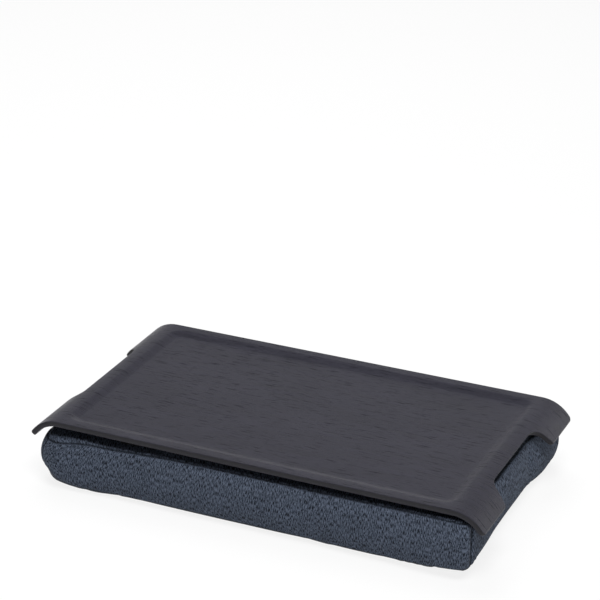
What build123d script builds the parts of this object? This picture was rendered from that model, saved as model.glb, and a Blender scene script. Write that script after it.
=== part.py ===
"""Lap tray with a bead cushion: a moulded wood tray that lifts off its cushion.

The origin is on the floor, under the middle of the tray. X runs along the long
side, the front is at -Y and Z is up. All lengths are in millimetres.
"""

import os
from math import cos, radians, sin, sqrt

from build123d import *

os.makedirs("parts", exist_ok=True)

# Tray as a whole
tray_length = 430.0         # from lip tip to lip tip
tray_width = 230.0          # from the front edge to the back edge
tray_height = 64.0          # from the floor to the flat rim

# Laminate of the tray
face_veneer = 0.6           # each of the two outer veneers
core_thickness = 3.8        # cross-laid plies between them

# Lips, bent down at the two short ends
lip_radius = 32.0           # at the upper face
lip_angle = 50.0            # degrees below the rim
lip_straight = 7.0          # beyond the bend
lip_corner = 4.0            # rounding of the lip's outer corners

# Hand notch in the middle of each lip
notch_bend = 21.0           # degrees of the bend that lie above the notch
notch_tilt = 36.0           # degrees from upright of the cut's direction
notch_top = 109.0           # along the upper edge, corners not yet rounded
notch_flare = 8.6           # by which each side runs outward down to the tip
notch_corner = 15.0         # rounding of the upper corners
notch_mouth_corner = 3.0    # rounding where the sides meet the lip's tip
cut_overrun = 12.0          # how far every cutter runs past what it cuts

# Shallow recess in the tray's upper face
recess_rim = 8.5            # flat rim left along the two long sides
recess_end_rim = 1.5        # flat rim left before the bend of each lip
recess_depth = 3.0
recess_run = 10.0           # width of the sloped border in plan
recess_corner = 15.0        # at the rim
recess_share = ((0, 0), (0.25, 0.12), (0.75, 0.88), (1, 1))    # of the run, of the depth

# Hook and loop strips that hold the tray on the cushion
strip_width = 20.0
strip_inset = 98.0          # from a lip's tip in to the middle of the strips beside it
hook_thickness = 0.9
hook_end_gap = 1.0          # from the hook strip's end to the end of the crown's flat
loop_thickness = 0.9
loop_end_gap = 6.0          # from the loop strip's end, down the crown, to the seam

# Cushion cover
cushion_inset = 10.0        # from a lip's tip in to the swollen corners
cushion_overhang = 5.0      # by which the corners swell out past the long edges
fabric = 1.2
crown_height = 4.7          # from the seam round the top panel up to its flat
bottom_seam_height = 4.0    # of the seam round the bottom panel
wall_bulge = 10.0           # by which the walls swell out past the top seam
wall_share = (              # of the height, of the bulge, of the corners' looseness
    (0, 0.72, 1),
    (0.16, 0.9, 0.55),
    (0.42, 1, 0),
    (0.76, 0.72, 0.2),
    (1, 0, 1),
)
front_draw = 2.0            # by which the front pulls in between its corners
side_draw = 8.0             # the same for the two short sides
back_draw = 5.5             # the same for the back, straight along the zip
corner_tight = 20.0         # plan rounding of the corners where they are fullest
corner_loose = 36.0         # plan rounding of the corners at the two seams
crown_run = 24.0            # from the top seam inward to the flat of the top panel
crown_share = ((0, 0), (0.3, 0.55), (1, 1))    # of the run, of the height
base_run = 9.0              # from the bottom seam inward to the flat of the base

# Bag of beads inside the cover
bag_gap = 0.3               # between the cover and the bag, and the bag and its beads
bag_cloth = 0.6

# Zip in the back wall
zip_end_inset = 75.0        # from a swollen corner in to the zip's end
zip_opening = 14.0          # between the two bands of the back wall
tape_thickness = 0.8
tape_gap = 2.4              # between the facing edges of the two tapes
coil_gap = 1.1              # between the two coils, where the slider's post runs
coil_width = 2.2
coil_height = 1.5
stop_length = 2.5
zip_clearance = 0.3         # round everything that slides or turns

# Slider of the zip
slider_length = 9.0
slider_plate = 1.0          # thickness of the front and the back plate
slider_flange = 0.6         # turned-in sides that guide the coils
slider_post = 0.5           # thickness of the post between the plates
slider_post_length = 2.5
slider_back_half = 3.2      # half height of the back plate
groove_room = 0.8           # left round the back plate in the bag's groove

# Pull tab of the zip
pull_length = 24.0
pull_width = 5.6
pull_thickness = 1.0
pull_hole = 4.6             # length of the hole from the pivot
pull_end_radius = 1.6
bridge_length = 6.0         # of the slider's arch that holds the pull
bridge_thickness = 0.8
bridge_width = 1.6

# Heights and places that follow from the sizes above
board_thickness = 2 * face_veneer + core_thickness
board_underside = tray_height - board_thickness - recess_depth
cushion_top = board_underside - hook_thickness - loop_thickness
cushion_length = tray_length - 2 * cushion_inset
cushion_width = tray_width + 2 * cushion_overhang
zip_half = cushion_length / 2 - zip_end_inset
top_seam_height = cushion_top - crown_height
loop_length = cushion_width - 2 * (wall_bulge + loop_end_gap)
hook_length = cushion_width - 2 * (wall_bulge + crown_run + hook_end_gap)
wall_height = top_seam_height - bottom_seam_height
lip_sin = sin(radians(lip_angle))
lip_cos = cos(radians(lip_angle))
bend_start = tray_length / 2 - lip_radius * lip_sin - lip_straight * lip_cos
full_share = max(wall_share, key=lambda row: row[1])[0]
zip_height = bottom_seam_height + full_share * wall_height
zip_face = cushion_width / 2 - back_draw
groove_depth = tape_thickness + zip_clearance + slider_plate + zip_clearance
strip_x = tray_length / 2 - strip_inset


def save(part, name):
    """Label one finished piece and write it to its own file."""
    part.label = name
    export_step(part, f"parts/{name}.step")


# Moulded tray


def section_points(depth):
    """Corner points of the right half of the tray's section, at a depth below its face."""
    radius = lip_radius - depth
    centre_z = tray_height - lip_radius
    flat_end = (bend_start, tray_height - depth)
    half_turn = radians(lip_angle / 2)
    middle = (bend_start + radius * sin(half_turn), centre_z + radius * cos(half_turn))
    turn_end = (bend_start + radius * lip_sin, centre_z + radius * lip_cos)
    tip = (turn_end[0] + lip_straight * lip_cos, turn_end[1] - lip_straight * lip_sin)
    return flat_end, middle, turn_end, tip


def mirrored(point):
    """The same section point on the left half."""
    return (-point[0], point[1])


def section_lines(depth):
    """The section's line from the left tip to the right tip, at one depth."""
    flat_end, middle, turn_end, tip = section_points(depth)
    Line(mirrored(tip), mirrored(turn_end))
    ThreePointArc(mirrored(turn_end), mirrored(middle), mirrored(flat_end))
    Line(mirrored(flat_end), flat_end)
    ThreePointArc(flat_end, middle, turn_end)
    Line(turn_end, tip)


def recess_plug(depth):
    """The recess as a solid, with its mouth at a depth below the rim."""
    mouth_x = bend_start - recess_end_rim
    mouth_y = tray_width / 2 - recess_rim
    with BuildPart() as plug:
        for run_share, depth_share in recess_share:
            inset = run_share * recess_run
            level = tray_height - depth - depth_share * recess_depth
            with BuildSketch(Plane.XY.offset(level)):
                RectangleRounded(2 * (mouth_x - inset), 2 * (mouth_y - inset), recess_corner - inset)
        loft(ruled=True)
    return plug.part


def notch_cutter():
    """The cutter for the right hand notch, square to the lip near the notch's middle."""
    turn = radians(notch_bend)
    tilt = radians(notch_tilt)
    edge_x = bend_start + lip_radius * sin(turn)
    edge_z = tray_height - lip_radius + lip_radius * cos(turn)
    tip_x, tip_z = section_points(0)[-1]
    run = (tip_x - edge_x) * cos(tilt) + (edge_z - tip_z) * sin(tilt)
    reach = run + cut_overrun
    half_top = notch_top / 2
    half_mouth = half_top + notch_flare
    half_reach = half_mouth + 2 * notch_mouth_corner
    cut_plane = Plane(origin=(edge_x, 0, edge_z), x_dir=(0, 1, 0), z_dir=(sin(tilt), 0, cos(tilt)))
    right_side = ((half_top, 0), (half_mouth, -run), (half_reach, -run), (half_reach, -reach))
    left_side = [(-u, v) for u, v in reversed(right_side)]
    with BuildPart() as cutter:
        with BuildSketch(cut_plane) as outline:
            with BuildLine():
                Polyline(*left_side, *right_side, close=True)
            make_face()
            by_height = outline.vertices().sort_by(Axis.Y)
            fillet(by_height[-2:], notch_corner)
            mouth = outline.vertices().sort_by(lambda corner: abs(abs(corner.X) - half_mouth))
            fillet(mouth[:2], notch_mouth_corner)
        extrude(amount=board_thickness + cut_overrun, both=True)
    return cutter.part


def tip_edges(layer, side):
    """The short edges across one lip's tip, through the thickness of the layer."""
    tip = section_points(0)[-1]

    def beyond(edge):
        """How far an edge lies from the plane of the tip."""
        middle = edge.center()
        return (side * middle.X - tip[0]) * lip_cos - (middle.Z - tip[1]) * lip_sin

    reach = face_veneer / 2
    on_tip = layer.edges().filter_by(lambda edge: abs(beyond(edge)) < reach)
    return on_tip.filter_by(lambda edge: abs(edge.tangent_at(0.5).Y) < lip_cos)


notch = notch_cutter()
tray_layers = (
    ("tray_top_veneer", 0, face_veneer),
    ("tray_core", face_veneer, face_veneer + core_thickness),
    ("tray_bottom_veneer", face_veneer + core_thickness, board_thickness),
)
for layer_name, upper, lower in tray_layers:
    with BuildPart() as tray_layer:
        with BuildSketch(Plane.XZ):
            with BuildLine():
                section_lines(upper)
                upper_tip = section_points(upper)[-1]
                lower_tip = section_points(lower)[-1]
                Line(upper_tip, lower_tip)
                section_lines(lower)
                Line(mirrored(upper_tip), mirrored(lower_tip))
            make_face()
        extrude(amount=tray_width / 2, both=True)
        add(recess_plug(lower))
        add(recess_plug(upper), mode=Mode.SUBTRACT)
        add(notch, mode=Mode.SUBTRACT)
        add(notch.mirror(Plane.YZ), mode=Mode.SUBTRACT)
        for end in (-1, 1):
            corners = tip_edges(tray_layer, end).sort_by(Axis.Y)
            fillet(ShapeList([corners[0], corners[-1]]), lip_corner)
    save(tray_layer.part, layer_name)

# Hook strips, glued under the tray

for side_name, side in (("left", -1), ("right", 1)):
    with BuildPart() as hook_strip:
        with BuildSketch(Plane.XY.offset(board_underside)):
            with Locations((side * strip_x, 0)):
                Rectangle(strip_width, hook_length)
        extrude(amount=-hook_thickness)
    save(hook_strip.part, f"hook_strip_{side_name}")


# Form of the cushion, shared by the cover, the bag and the beads


def cushion_outline(level, inset, corner):
    """One closed plan outline of the cushion, pulled in between its swollen corners."""
    x = cushion_length / 2 - inset
    y = cushion_width / 2 - inset
    radius = corner
    straight = x - radius
    deep = y - radius
    bow = radius * (1 - sqrt(0.5))
    ear = straight - zip_half
    ear_radius = (ear**2 + back_draw**2) / (2 * back_draw)
    ear_middle = ear / 2
    ear_rise = ear_radius - sqrt(ear_radius**2 - ear_middle**2)
    with BuildSketch(Plane.XY.offset(level)) as outline:
        with BuildLine():
            ThreePointArc((-straight, -y), (0, front_draw - y), (straight, -y))
            ThreePointArc((straight, -y), (x - bow, bow - y), (x, -deep))
            ThreePointArc((x, -deep), (x - side_draw, 0), (x, deep))
            ThreePointArc((x, deep), (x - bow, y - bow), (straight, y))
            ThreePointArc(
                (straight, y), (zip_half + ear_middle, y - back_draw + ear_rise), (zip_half, y - back_draw)
            )
            Line((zip_half, y - back_draw), (-zip_half, y - back_draw))
            ThreePointArc(
                (-zip_half, y - back_draw), (-zip_half - ear_middle, y - back_draw + ear_rise), (-straight, y)
            )
            ThreePointArc((-straight, y), (bow - x, y - bow), (-x, deep))
            ThreePointArc((-x, deep), (side_draw - x, 0), (-x, -deep))
            ThreePointArc((-x, -deep), (bow - x, bow - y), (-straight, -y))
        make_face()
    return outline.sketch


def wall_outlines(skin):
    """The outlines that the walls swell through, a skin inside the cover's outer face."""
    rows = []
    for height_share, bulge_share, loose_share in wall_share:
        level = bottom_seam_height + height_share * wall_height
        inset = skin + (1 - bulge_share) * wall_bulge
        corner = corner_tight + loose_share * (corner_loose - corner_tight) - skin
        rows.append(cushion_outline(level, inset, corner))
    return rows


def crown_outlines(skin):
    """The outlines of the crown, from the top seam up to its flat."""
    rows = []
    for run_share, height_share in crown_share:
        level = top_seam_height + height_share * (crown_height - skin)
        inset = skin + wall_bulge + run_share * crown_run
        corner = corner_loose - run_share * (corner_loose - corner_tight) - skin
        rows.append(cushion_outline(level, inset, corner))
    return rows


def base_outlines(skin):
    """The outlines of the base, from the bottom seam down to its flat."""
    seam_inset = skin + (1 - wall_share[0][1]) * wall_bulge
    seam = cushion_outline(bottom_seam_height, seam_inset, corner_loose - skin)
    flat = cushion_outline(skin, seam_inset + base_run, corner_loose - skin)
    return [seam, flat]


def cushion_form(skin):
    """The whole cushion as one closed solid, a skin inside the cover's outer face."""
    with BuildPart() as form:
        loft(wall_outlines(skin))
        loft(crown_outlines(skin), ruled=True)
        loft(base_outlines(skin), ruled=True)
    return form.part


def groove_cutter(depth):
    """The groove behind the zip that the slider's back plate runs in."""
    extra = depth - groove_depth
    half_height = slider_back_half + groove_room + extra
    half_length = zip_half + extra
    with BuildPart() as groove:
        with BuildSketch(Plane.XY.offset(zip_height)):
            with Locations((0, zip_face - depth)):
                Rectangle(2 * half_length, depth + cut_overrun, align=(Align.CENTER, Align.MIN))
        extrude(amount=half_height, both=True)
    return groove.part


# Cover panels

with BuildPart() as cover_top_panel:
    loft(crown_outlines(0), ruled=True)
    loft(crown_outlines(fabric), ruled=True, mode=Mode.SUBTRACT)
save(cover_top_panel.part, "cover_top_panel")

with BuildPart() as cover_bottom_panel:
    loft(base_outlines(0), ruled=True)
    loft(base_outlines(fabric), ruled=True, mode=Mode.SUBTRACT)
save(cover_bottom_panel.part, "cover_bottom_panel")

with BuildPart() as wall_ring:
    loft(wall_outlines(0))
    loft(wall_outlines(fabric), mode=Mode.SUBTRACT)

outer_x = cushion_length / 2 + cut_overrun
outer_y = cushion_width / 2 + cut_overrun
inner_x = cushion_length / 2 - 2 * corner_loose
inner_y = cushion_width / 2 - 2 * corner_loose
seam_cutters = {
    "front": ((-outer_x, -outer_y), (outer_x, -outer_y), (inner_x, -inner_y), (-inner_x, -inner_y)),
    "back": ((-outer_x, outer_y), (-inner_x, inner_y), (inner_x, inner_y), (outer_x, outer_y)),
    "left": ((-outer_x, -outer_y), (-inner_x, -inner_y), (-inner_x, inner_y), (-outer_x, outer_y)),
    "right": ((outer_x, -outer_y), (outer_x, outer_y), (inner_x, inner_y), (inner_x, -inner_y)),
}


def wall_between(name, low, high):
    """The stretch of the wall ring on one side of the cushion, between two heights."""
    with BuildPart() as wall:
        with BuildSketch(Plane.XY.offset(low)):
            with BuildLine():
                Polyline(*seam_cutters[name], close=True)
            make_face()
        extrude(amount=high - low)
        add(wall_ring.part, mode=Mode.INTERSECT)
    return wall.part


for side_name in ("front", "left", "right"):
    save(wall_between(side_name, bottom_seam_height, top_seam_height), f"cover_{side_name}_wall")

with BuildPart() as zip_window:
    with BuildSketch(Plane.XY.offset(zip_height)):
        with Locations((0, zip_face)):
            Rectangle(2 * zip_half, 2 * cut_overrun)
    extrude(amount=zip_opening / 2, both=True)

back_bands = (
    ("cover_back_upper_band", zip_height, top_seam_height),
    ("cover_back_lower_band", bottom_seam_height, zip_height),
)
for band_name, low, high in back_bands:
    with BuildPart() as back_band:
        add(wall_between("back", low, high))
        add(zip_window.part, mode=Mode.SUBTRACT)
    save(back_band.part, band_name)

# Loop strips, sewn on the top panel

for side_name, side in (("left", -1), ("right", 1)):
    with BuildPart() as loop_strip:
        with BuildSketch(Plane.XY.offset(top_seam_height)):
            with Locations((side * strip_x, 0)):
                Rectangle(strip_width, loop_length)
        extrude(amount=crown_height + cut_overrun)
        with BuildPart(mode=Mode.PRIVATE) as loop_skin:
            loft(crown_outlines(-loop_thickness), ruled=True)
            loft(crown_outlines(0), ruled=True, mode=Mode.SUBTRACT)
        add(loop_skin.part, mode=Mode.INTERSECT)
    save(loop_strip.part, f"loop_strip_{side_name}")

# Bag and beads

bag_skin = fabric + bag_gap
with BuildPart() as bead_bag:
    add(cushion_form(bag_skin))
    add(groove_cutter(groove_depth), mode=Mode.SUBTRACT)
    with BuildPart(mode=Mode.PRIVATE) as bag_hollow:
        add(cushion_form(bag_skin + bag_cloth))
        add(groove_cutter(groove_depth + bag_cloth), mode=Mode.SUBTRACT)
    add(bag_hollow.part, mode=Mode.SUBTRACT)
save(bead_bag.part, "bead_bag")

with BuildPart() as bead_fill:
    add(cushion_form(bag_skin + bag_cloth + bag_gap))
    add(groove_cutter(groove_depth + bag_cloth + bag_gap), mode=Mode.SUBTRACT)
save(bead_fill.part, "bead_fill")

# Zip tapes and coils

for row_name, side in (("upper", 1), ("lower", -1)):
    with BuildPart() as zip_tape:
        with BuildSketch(Plane.XZ.offset(-zip_face)):
            with Locations((0, zip_height + side * (tape_gap + zip_opening) / 4)):
                Rectangle(2 * zip_half, (zip_opening - tape_gap) / 2)
        extrude(amount=tape_thickness)
    save(zip_tape.part, f"zip_tape_{row_name}")

    with BuildPart() as zip_coil:
        with BuildSketch(Plane.XZ.offset(-zip_face)):
            with Locations((0, zip_height + side * (coil_gap + coil_width) / 2)):
                Rectangle(2 * (zip_half - stop_length), coil_width)
        extrude(amount=-coil_height)
        rounded = zip_coil.faces().sort_by(Axis.Y)[-1].edges().filter_by(Axis.X)
        fillet(rounded, coil_width / 3)
    save(zip_coil.part, f"zip_coil_{row_name}")

with BuildPart() as zip_end_stops:
    with BuildSketch(Plane.XZ.offset(-zip_face)):
        for end in (-1, 1):
            for side in (-1, 1):
                place = (end * (zip_half - stop_length / 2), zip_height + side * (coil_gap + coil_width) / 2)
                with Locations(place):
                    Rectangle(stop_length, coil_width)
    extrude(amount=-coil_height)
save(zip_end_stops.part, "zip_end_stops")

# Slider: two plates joined by a post, with a bridge for the pull

slider_x = zip_half - stop_length - zip_clearance - slider_length / 2
coil_outer = coil_gap / 2 + coil_width
flange_inner = coil_outer + zip_clearance
plate_half = flange_inner + slider_flange
front_plate_low = zip_face + coil_height + zip_clearance
front_plate_high = front_plate_low + slider_plate
back_plate_high = zip_face - tape_thickness - zip_clearance
back_plate_low = back_plate_high - slider_plate
pull_radius = pull_thickness / 2
pivot_y = front_plate_high + zip_clearance + pull_radius
bridge_low = pivot_y + pull_radius + zip_clearance
bridge_high = bridge_low + bridge_thickness

with BuildPart() as zip_slider:
    with BuildSketch(Plane.XZ.offset(-front_plate_low)) as front_plate:
        with Locations((slider_x, zip_height)):
            Rectangle(slider_length, 2 * plate_half)
        fillet(front_plate.vertices(), slider_flange)
    extrude(amount=-slider_plate)
    with BuildSketch(Plane.XZ.offset(-front_plate_low)):
        for side in (-1, 1):
            with Locations((slider_x, zip_height + side * (flange_inner + slider_flange / 2))):
                Rectangle(slider_length - 2 * slider_flange, slider_flange)
    extrude(amount=coil_height)
    with BuildSketch(Plane.XZ.offset(-back_plate_high)) as back_plate:
        with Locations((slider_x, zip_height)):
            Rectangle(slider_length, 2 * slider_back_half)
        fillet(back_plate.vertices(), slider_flange)
    extrude(amount=slider_plate)
    with BuildSketch(Plane.XZ.offset(-back_plate_high)):
        with Locations((slider_x + (slider_length - slider_post_length) / 2 - slider_flange, zip_height)):
            Rectangle(slider_post_length, slider_post)
    extrude(amount=back_plate_high - front_plate_low)
    with BuildSketch(Plane.XY.offset(zip_height - bridge_width / 2)) as bridge:
        with Locations((slider_x, front_plate_high)):
            Rectangle(bridge_length, bridge_high - front_plate_high, align=(Align.CENTER, Align.MIN))
            Rectangle(
                bridge_length - 2 * bridge_thickness,
                bridge_low - front_plate_high,
                align=(Align.CENTER, Align.MIN),
                mode=Mode.SUBTRACT,
            )
        fillet(bridge.vertices().sort_by(Axis.Y)[-2:], bridge_thickness)
    extrude(amount=bridge_width)
save(zip_slider.part, "zip_slider")

# Pull tab, turning on its own cross bar under the slider's bridge

hole_half = bridge_width / 2 + zip_clearance
with BuildPart() as zip_pull:
    with BuildSketch(Plane.XZ.offset(-pivot_y + pull_radius)) as tab:
        with Locations((slider_x, zip_height)):
            Rectangle(pull_length, pull_width, align=(Align.MAX, Align.CENTER))
        fillet(tab.vertices().sort_by(Axis.X)[:2], pull_end_radius)
        with Locations((slider_x, zip_height)):
            Rectangle(pull_hole, 2 * hole_half, align=(Align.MAX, Align.CENTER), mode=Mode.SUBTRACT)
    extrude(amount=-pull_thickness)
    with BuildSketch(Plane.XY.offset(zip_height)):
        with Locations((slider_x, pivot_y)):
            Circle(pull_radius)
    extrude(amount=pull_width / 2, both=True)
save(zip_pull.part, "zip_pull")
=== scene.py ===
"""Lap tray with a bead cushion: the finish of its stained veneer, heather cloth and zip.

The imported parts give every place. All lengths are in metres, the origin is on the floor
under the middle of the tray, X runs along its long side and the front is at -Y.
"""

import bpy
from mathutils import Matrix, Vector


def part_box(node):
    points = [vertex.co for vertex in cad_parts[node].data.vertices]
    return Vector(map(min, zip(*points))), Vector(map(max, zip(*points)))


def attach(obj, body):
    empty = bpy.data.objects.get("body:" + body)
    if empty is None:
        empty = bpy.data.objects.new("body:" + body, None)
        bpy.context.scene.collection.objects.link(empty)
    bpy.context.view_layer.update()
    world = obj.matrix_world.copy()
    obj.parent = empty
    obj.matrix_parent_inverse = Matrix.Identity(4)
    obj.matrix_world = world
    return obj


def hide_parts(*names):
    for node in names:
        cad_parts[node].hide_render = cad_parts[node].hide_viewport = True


bl_info = {
    "name": "Lap Tray with Cushion",
    "version": (1, 0, 0),
    "blender": (4, 5, 0),
    "location": "View3D > Sidebar > Lap Tray",
    "description": "Dresses a moulded wood lap tray and its bead cushion",
    "category": "Object",
}

from math import cos, pi, radians, sin
from typing import NamedTuple

import bpy
import numpy as np
from mathutils import Matrix, Vector
from mathutils.geometry import delaunay_2d_cdt

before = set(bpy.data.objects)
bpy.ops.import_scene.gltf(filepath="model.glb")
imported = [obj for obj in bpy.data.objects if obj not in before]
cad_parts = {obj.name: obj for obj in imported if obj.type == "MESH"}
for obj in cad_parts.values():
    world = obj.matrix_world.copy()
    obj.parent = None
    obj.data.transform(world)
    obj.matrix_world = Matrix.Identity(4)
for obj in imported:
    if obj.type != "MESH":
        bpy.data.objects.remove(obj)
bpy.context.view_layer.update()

MM = 0.001

# Sizes of the board's bends, cuts and recess that its boxes don't give
lip_radius = 32 * MM
lip_angle = radians(50)
lip_straight = 7 * MM
lip_corner = 4 * MM
lip_round = 2 * MM
notch_bend = radians(21)
notch_tilt = radians(36)
notch_top = 109 * MM
notch_flare = 8.6 * MM
notch_corner = 15 * MM
notch_mouth_corner = 3 * MM
recess_rim = 8.5 * MM
recess_end_rim = 1.5 * MM
recess_run = 10 * MM
recess_corner = 15 * MM

# Sizes of the cushion's form that its boxes don't give
full_share = 0.45           # of the wall's height, where it swells out most
top_inset = 6 * MM
foot_inset = 3.5 * MM
seam_lift = 3 * MM          # by which the beads push the top seam up
front_draw = 1 * MM
side_draw = 2.5 * MM
back_draw = 5.5 * MM
crown_runs = (17 * MM, 17 * MM)     # of the top panel at the left and the right end
crown_stretch = 2.8                 # of those runs along the front and the back
base_runs = (15 * MM, 24 * MM)
slack_reach = 85 * MM
swell_reach = 48 * MM
side_shift = 3 * MM         # by which the beads lean to the left
settling_steps = 20
evening_rounds = 80         # over which the settling's broad shape is evened out


class Corner(NamedTuple):
    """How the walls and seams go round one corner of the cushion."""

    radius: float           # where the walls swell out most
    loose: float            # added to it at both seams
    droop: float            # by which the top seam sinks
    rise: float             # by which the bottom seam lifts
    spread: float           # how far along the top seam its droop reaches
    lift_spread: float      # how far along the bottom seam its lift reaches
    slack: float            # by which the top seam sags farther along
    fill: float             # by which the top of the corner is pushed out
    swell: float            # by which its full height is pushed out
    turn: float             # how far round it the walls meet, from the front towards the right


front_left = Corner(
    21 * MM, 1 * MM, 4.2 * MM, 11 * MM, 22 * MM, 19 * MM, 4.5 * MM, 2.5 * MM, 1.9 * MM, radians(45))
front_right = Corner(
    10 * MM, 2 * MM, 1 * MM, 6 * MM, 10 * MM, 40 * MM, -1.7 * MM, 4 * MM, 1.7 * MM, radians(76))
back_right = Corner(
    11 * MM, 3 * MM, 5 * MM, 4 * MM, 16 * MM, 24 * MM, 1 * MM, 3 * MM, 0, radians(45))
back_left = Corner(
    15 * MM, 4 * MM, 6 * MM, 6 * MM, 18 * MM, 22 * MM, 2 * MM, 3 * MM, 0, radians(45))
side_ends = {
    "front": (front_left, front_right), "right": (front_right, back_right),
    "back": (back_right, back_left), "left": (back_left, front_left),
}


class Fold(NamedTuple):
    """A soft crease that runs down one wall of the cushion."""

    side: str
    place: float            # along the wall from its middle
    width: float
    depth: float
    sag: float              # of the top seam above it


folds = (
    Fold("front", -125 * MM, 16 * MM, 1.6 * MM, 2.6 * MM),
    Fold("front", -96 * MM, 12 * MM, 0.5 * MM, 1 * MM),
    Fold("front", 62 * MM, 20 * MM, 0.8 * MM, 0.8 * MM),
    Fold("right", -38 * MM, 15 * MM, 0.4 * MM, 1 * MM),
    Fold("right", 47 * MM, 18 * MM, 1.3 * MM, 1.4 * MM),
    Fold("left", 30 * MM, 16 * MM, 1.4 * MM, 1.6 * MM),
    Fold("left", -41 * MM, 14 * MM, 0.8 * MM, 1 * MM),
    Fold("back", 128 * MM, 17 * MM, 1.2 * MM, 1.5 * MM),
    Fold("back", -117 * MM, 15 * MM, 1 * MM, 1.2 * MM),
)

# Places and sizes read from the frame
tray_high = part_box("tray_top_veneer")[1]
core_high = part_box("tray_core")[1]
under_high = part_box("tray_bottom_veneer")[1]
hook_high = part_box("hook_strip_right")[1]
loop_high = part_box("loop_strip_right")[1]
wall_low, wall_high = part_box("cover_front_wall")
side_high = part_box("cover_right_wall")[1]
crown_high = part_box("cover_top_panel")[1]
tape_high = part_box("zip_tape_upper")[1]
under_tape_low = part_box("zip_tape_lower")[0]

tray_height = tray_high.z
half_width = tray_high.y
face_veneer = tray_high.z - core_high.z
core_depth = tray_high.z - under_high.z
board_thickness = core_depth + face_veneer
recess_depth = tray_height - board_thickness - hook_high.z
bend_start = tray_high.x - lip_radius * sin(lip_angle) - lip_straight * cos(lip_angle)
half_run = bend_start + lip_radius * lip_angle + lip_straight

cushion_x = side_high.x
cushion_y = -wall_low.y
cushion_top = crown_high.z
bottom_seam = wall_low.z
top_seam = wall_high.z
zip_half = tape_high.x
zip_face = tape_high.y
zip_height = (tape_high.z + under_tape_low.z) / 2
zip_opening = tape_high.z - under_tape_low.z
fabric = 1.2 * MM
seam_reach = 1.5 * MM       # how far from a seam the cloth dips
bag_face = 1.8 * MM         # this and the next two lie below the cover's face
bag_lining = 2.4 * MM
bead_face = 3 * MM
zip_give = 2.2 * MM         # how much farther in they lie behind the zip


class TraySettings(bpy.types.PropertyGroup):
    """Finish of the moulded board and its strips."""

    stain: bpy.props.FloatVectorProperty(
        name="Stain", description="Colour of the stained veneer", subtype="COLOR",
        size=3, min=0, max=1, default=(0.029, 0.0283, 0.0395))
    pore: bpy.props.FloatVectorProperty(
        name="Pores", description="Colour in the open pores of the veneer", subtype="COLOR",
        size=3, min=0, max=1, default=(0.007, 0.007, 0.0095))
    edge: bpy.props.FloatVectorProperty(
        name="Edge", description="Colour of the stained ply edges", subtype="COLOR",
        size=3, min=0, max=1, default=(0.0215, 0.0208, 0.0253))
    arris: bpy.props.FloatProperty(
        name="Arris", description="Radius of the softened edges", subtype="DISTANCE",
        unit="LENGTH", min=0.0002, max=0.0015, default=0.0005)
    strip: bpy.props.FloatVectorProperty(
        name="Strips", description="Colour of the hook and loop strips", subtype="COLOR",
        size=3, min=0, max=1, default=(0.011, 0.011, 0.012))


class CushionSettings(bpy.types.PropertyGroup):
    """Cloth and filling of the cushion."""

    dark_yarn: bpy.props.FloatVectorProperty(
        name="Dark yarn", description="Colour of the dark fibres in the cloth", subtype="COLOR",
        size=3, min=0, max=1, default=(0.0095, 0.0120, 0.0175))
    light_yarn: bpy.props.FloatVectorProperty(
        name="Light yarn", description="Colour of the pale fibres in the cloth", subtype="COLOR",
        size=3, min=0, max=1, default=(0.143, 0.174, 0.241))
    base: bpy.props.FloatVectorProperty(
        name="Base cloth", description="Colour of the panel that the cushion lies on",
        subtype="COLOR", size=3, min=0, max=1, default=(0.060, 0.072, 0.098))
    pressure: bpy.props.FloatProperty(
        name="Pressure", description="How hard the beads push the cloth out", min=0, max=20,
        default=4)
    gather: bpy.props.FloatProperty(
        name="Gather", description="Share by which the seams pull the cloth together",
        subtype="FACTOR", min=0, max=0.2, default=0.015)
    reach: bpy.props.FloatProperty(
        name="Reach", description="Farthest that the cloth may move while it settles",
        subtype="DISTANCE", unit="LENGTH", min=0, max=0.02, default=0.0012)
    seam_depth: bpy.props.FloatProperty(
        name="Seam depth", description="How deep the cloth dips along a seam",
        subtype="DISTANCE", unit="LENGTH", min=0, max=0.003, default=0.0011)


class StageSettings(bpy.types.PropertyGroup):
    """Floor, light and camera."""

    floor: bpy.props.FloatVectorProperty(
        name="Floor", description="Colour of the floor", subtype="COLOR",
        size=3, min=0, max=1, default=(0.88, 0.88, 0.88))
    sky: bpy.props.FloatProperty(
        name="Sky", description="Strength of the even light from all round", min=0, max=2,
        default=0.05)
    key: bpy.props.FloatProperty(
        name="Key", description="Power of the soft lamp above the far left", unit="POWER",
        min=0, max=500, default=34)
    fill: bpy.props.FloatProperty(
        name="Fill", description="Power of the soft lamp above the near right", unit="POWER",
        min=0, max=500, default=44)
    turn: bpy.props.FloatProperty(
        name="Turn", description="Direction of the camera round the tray", subtype="ANGLE",
        unit="ROTATION", default=radians(24.14))
    lift: bpy.props.FloatProperty(
        name="Lift", description="Angle of the camera above the floor", subtype="ANGLE",
        unit="ROTATION", default=radians(23.85))
    distance: bpy.props.FloatProperty(
        name="Distance", description="From the camera to the middle of the tray",
        subtype="DISTANCE", unit="LENGTH", min=0.1, default=1.93263)


# Meshes and pieces


def eased(share):
    """A share from 0 to 1 with a soft start and a soft end."""
    return share * share * (3 - 2 * share)


def bell(distance, reach):
    """A share that falls from 1 with distance and is small beyond its reach."""
    return np.exp(-((distance / reach) ** 2))


def walked(points):
    """How far each point of a row lies from the first, along the row."""
    steps = np.linalg.norm(np.diff(points, axis=0), axis=1)
    return np.concatenate(((0,), np.cumsum(steps)))


def cell_corners(grid):
    """The four corners of every cell of a grid, in order round the cell."""
    return grid[:-1, :-1], grid[1:, :-1], grid[1:, 1:], grid[:-1, 1:]


def quads(grid):
    """Faces of a grid of point numbers, turned to face along its rows crossed with its columns."""
    return np.stack([c.ravel() for c in cell_corners(grid)], axis=1).tolist()


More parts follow.
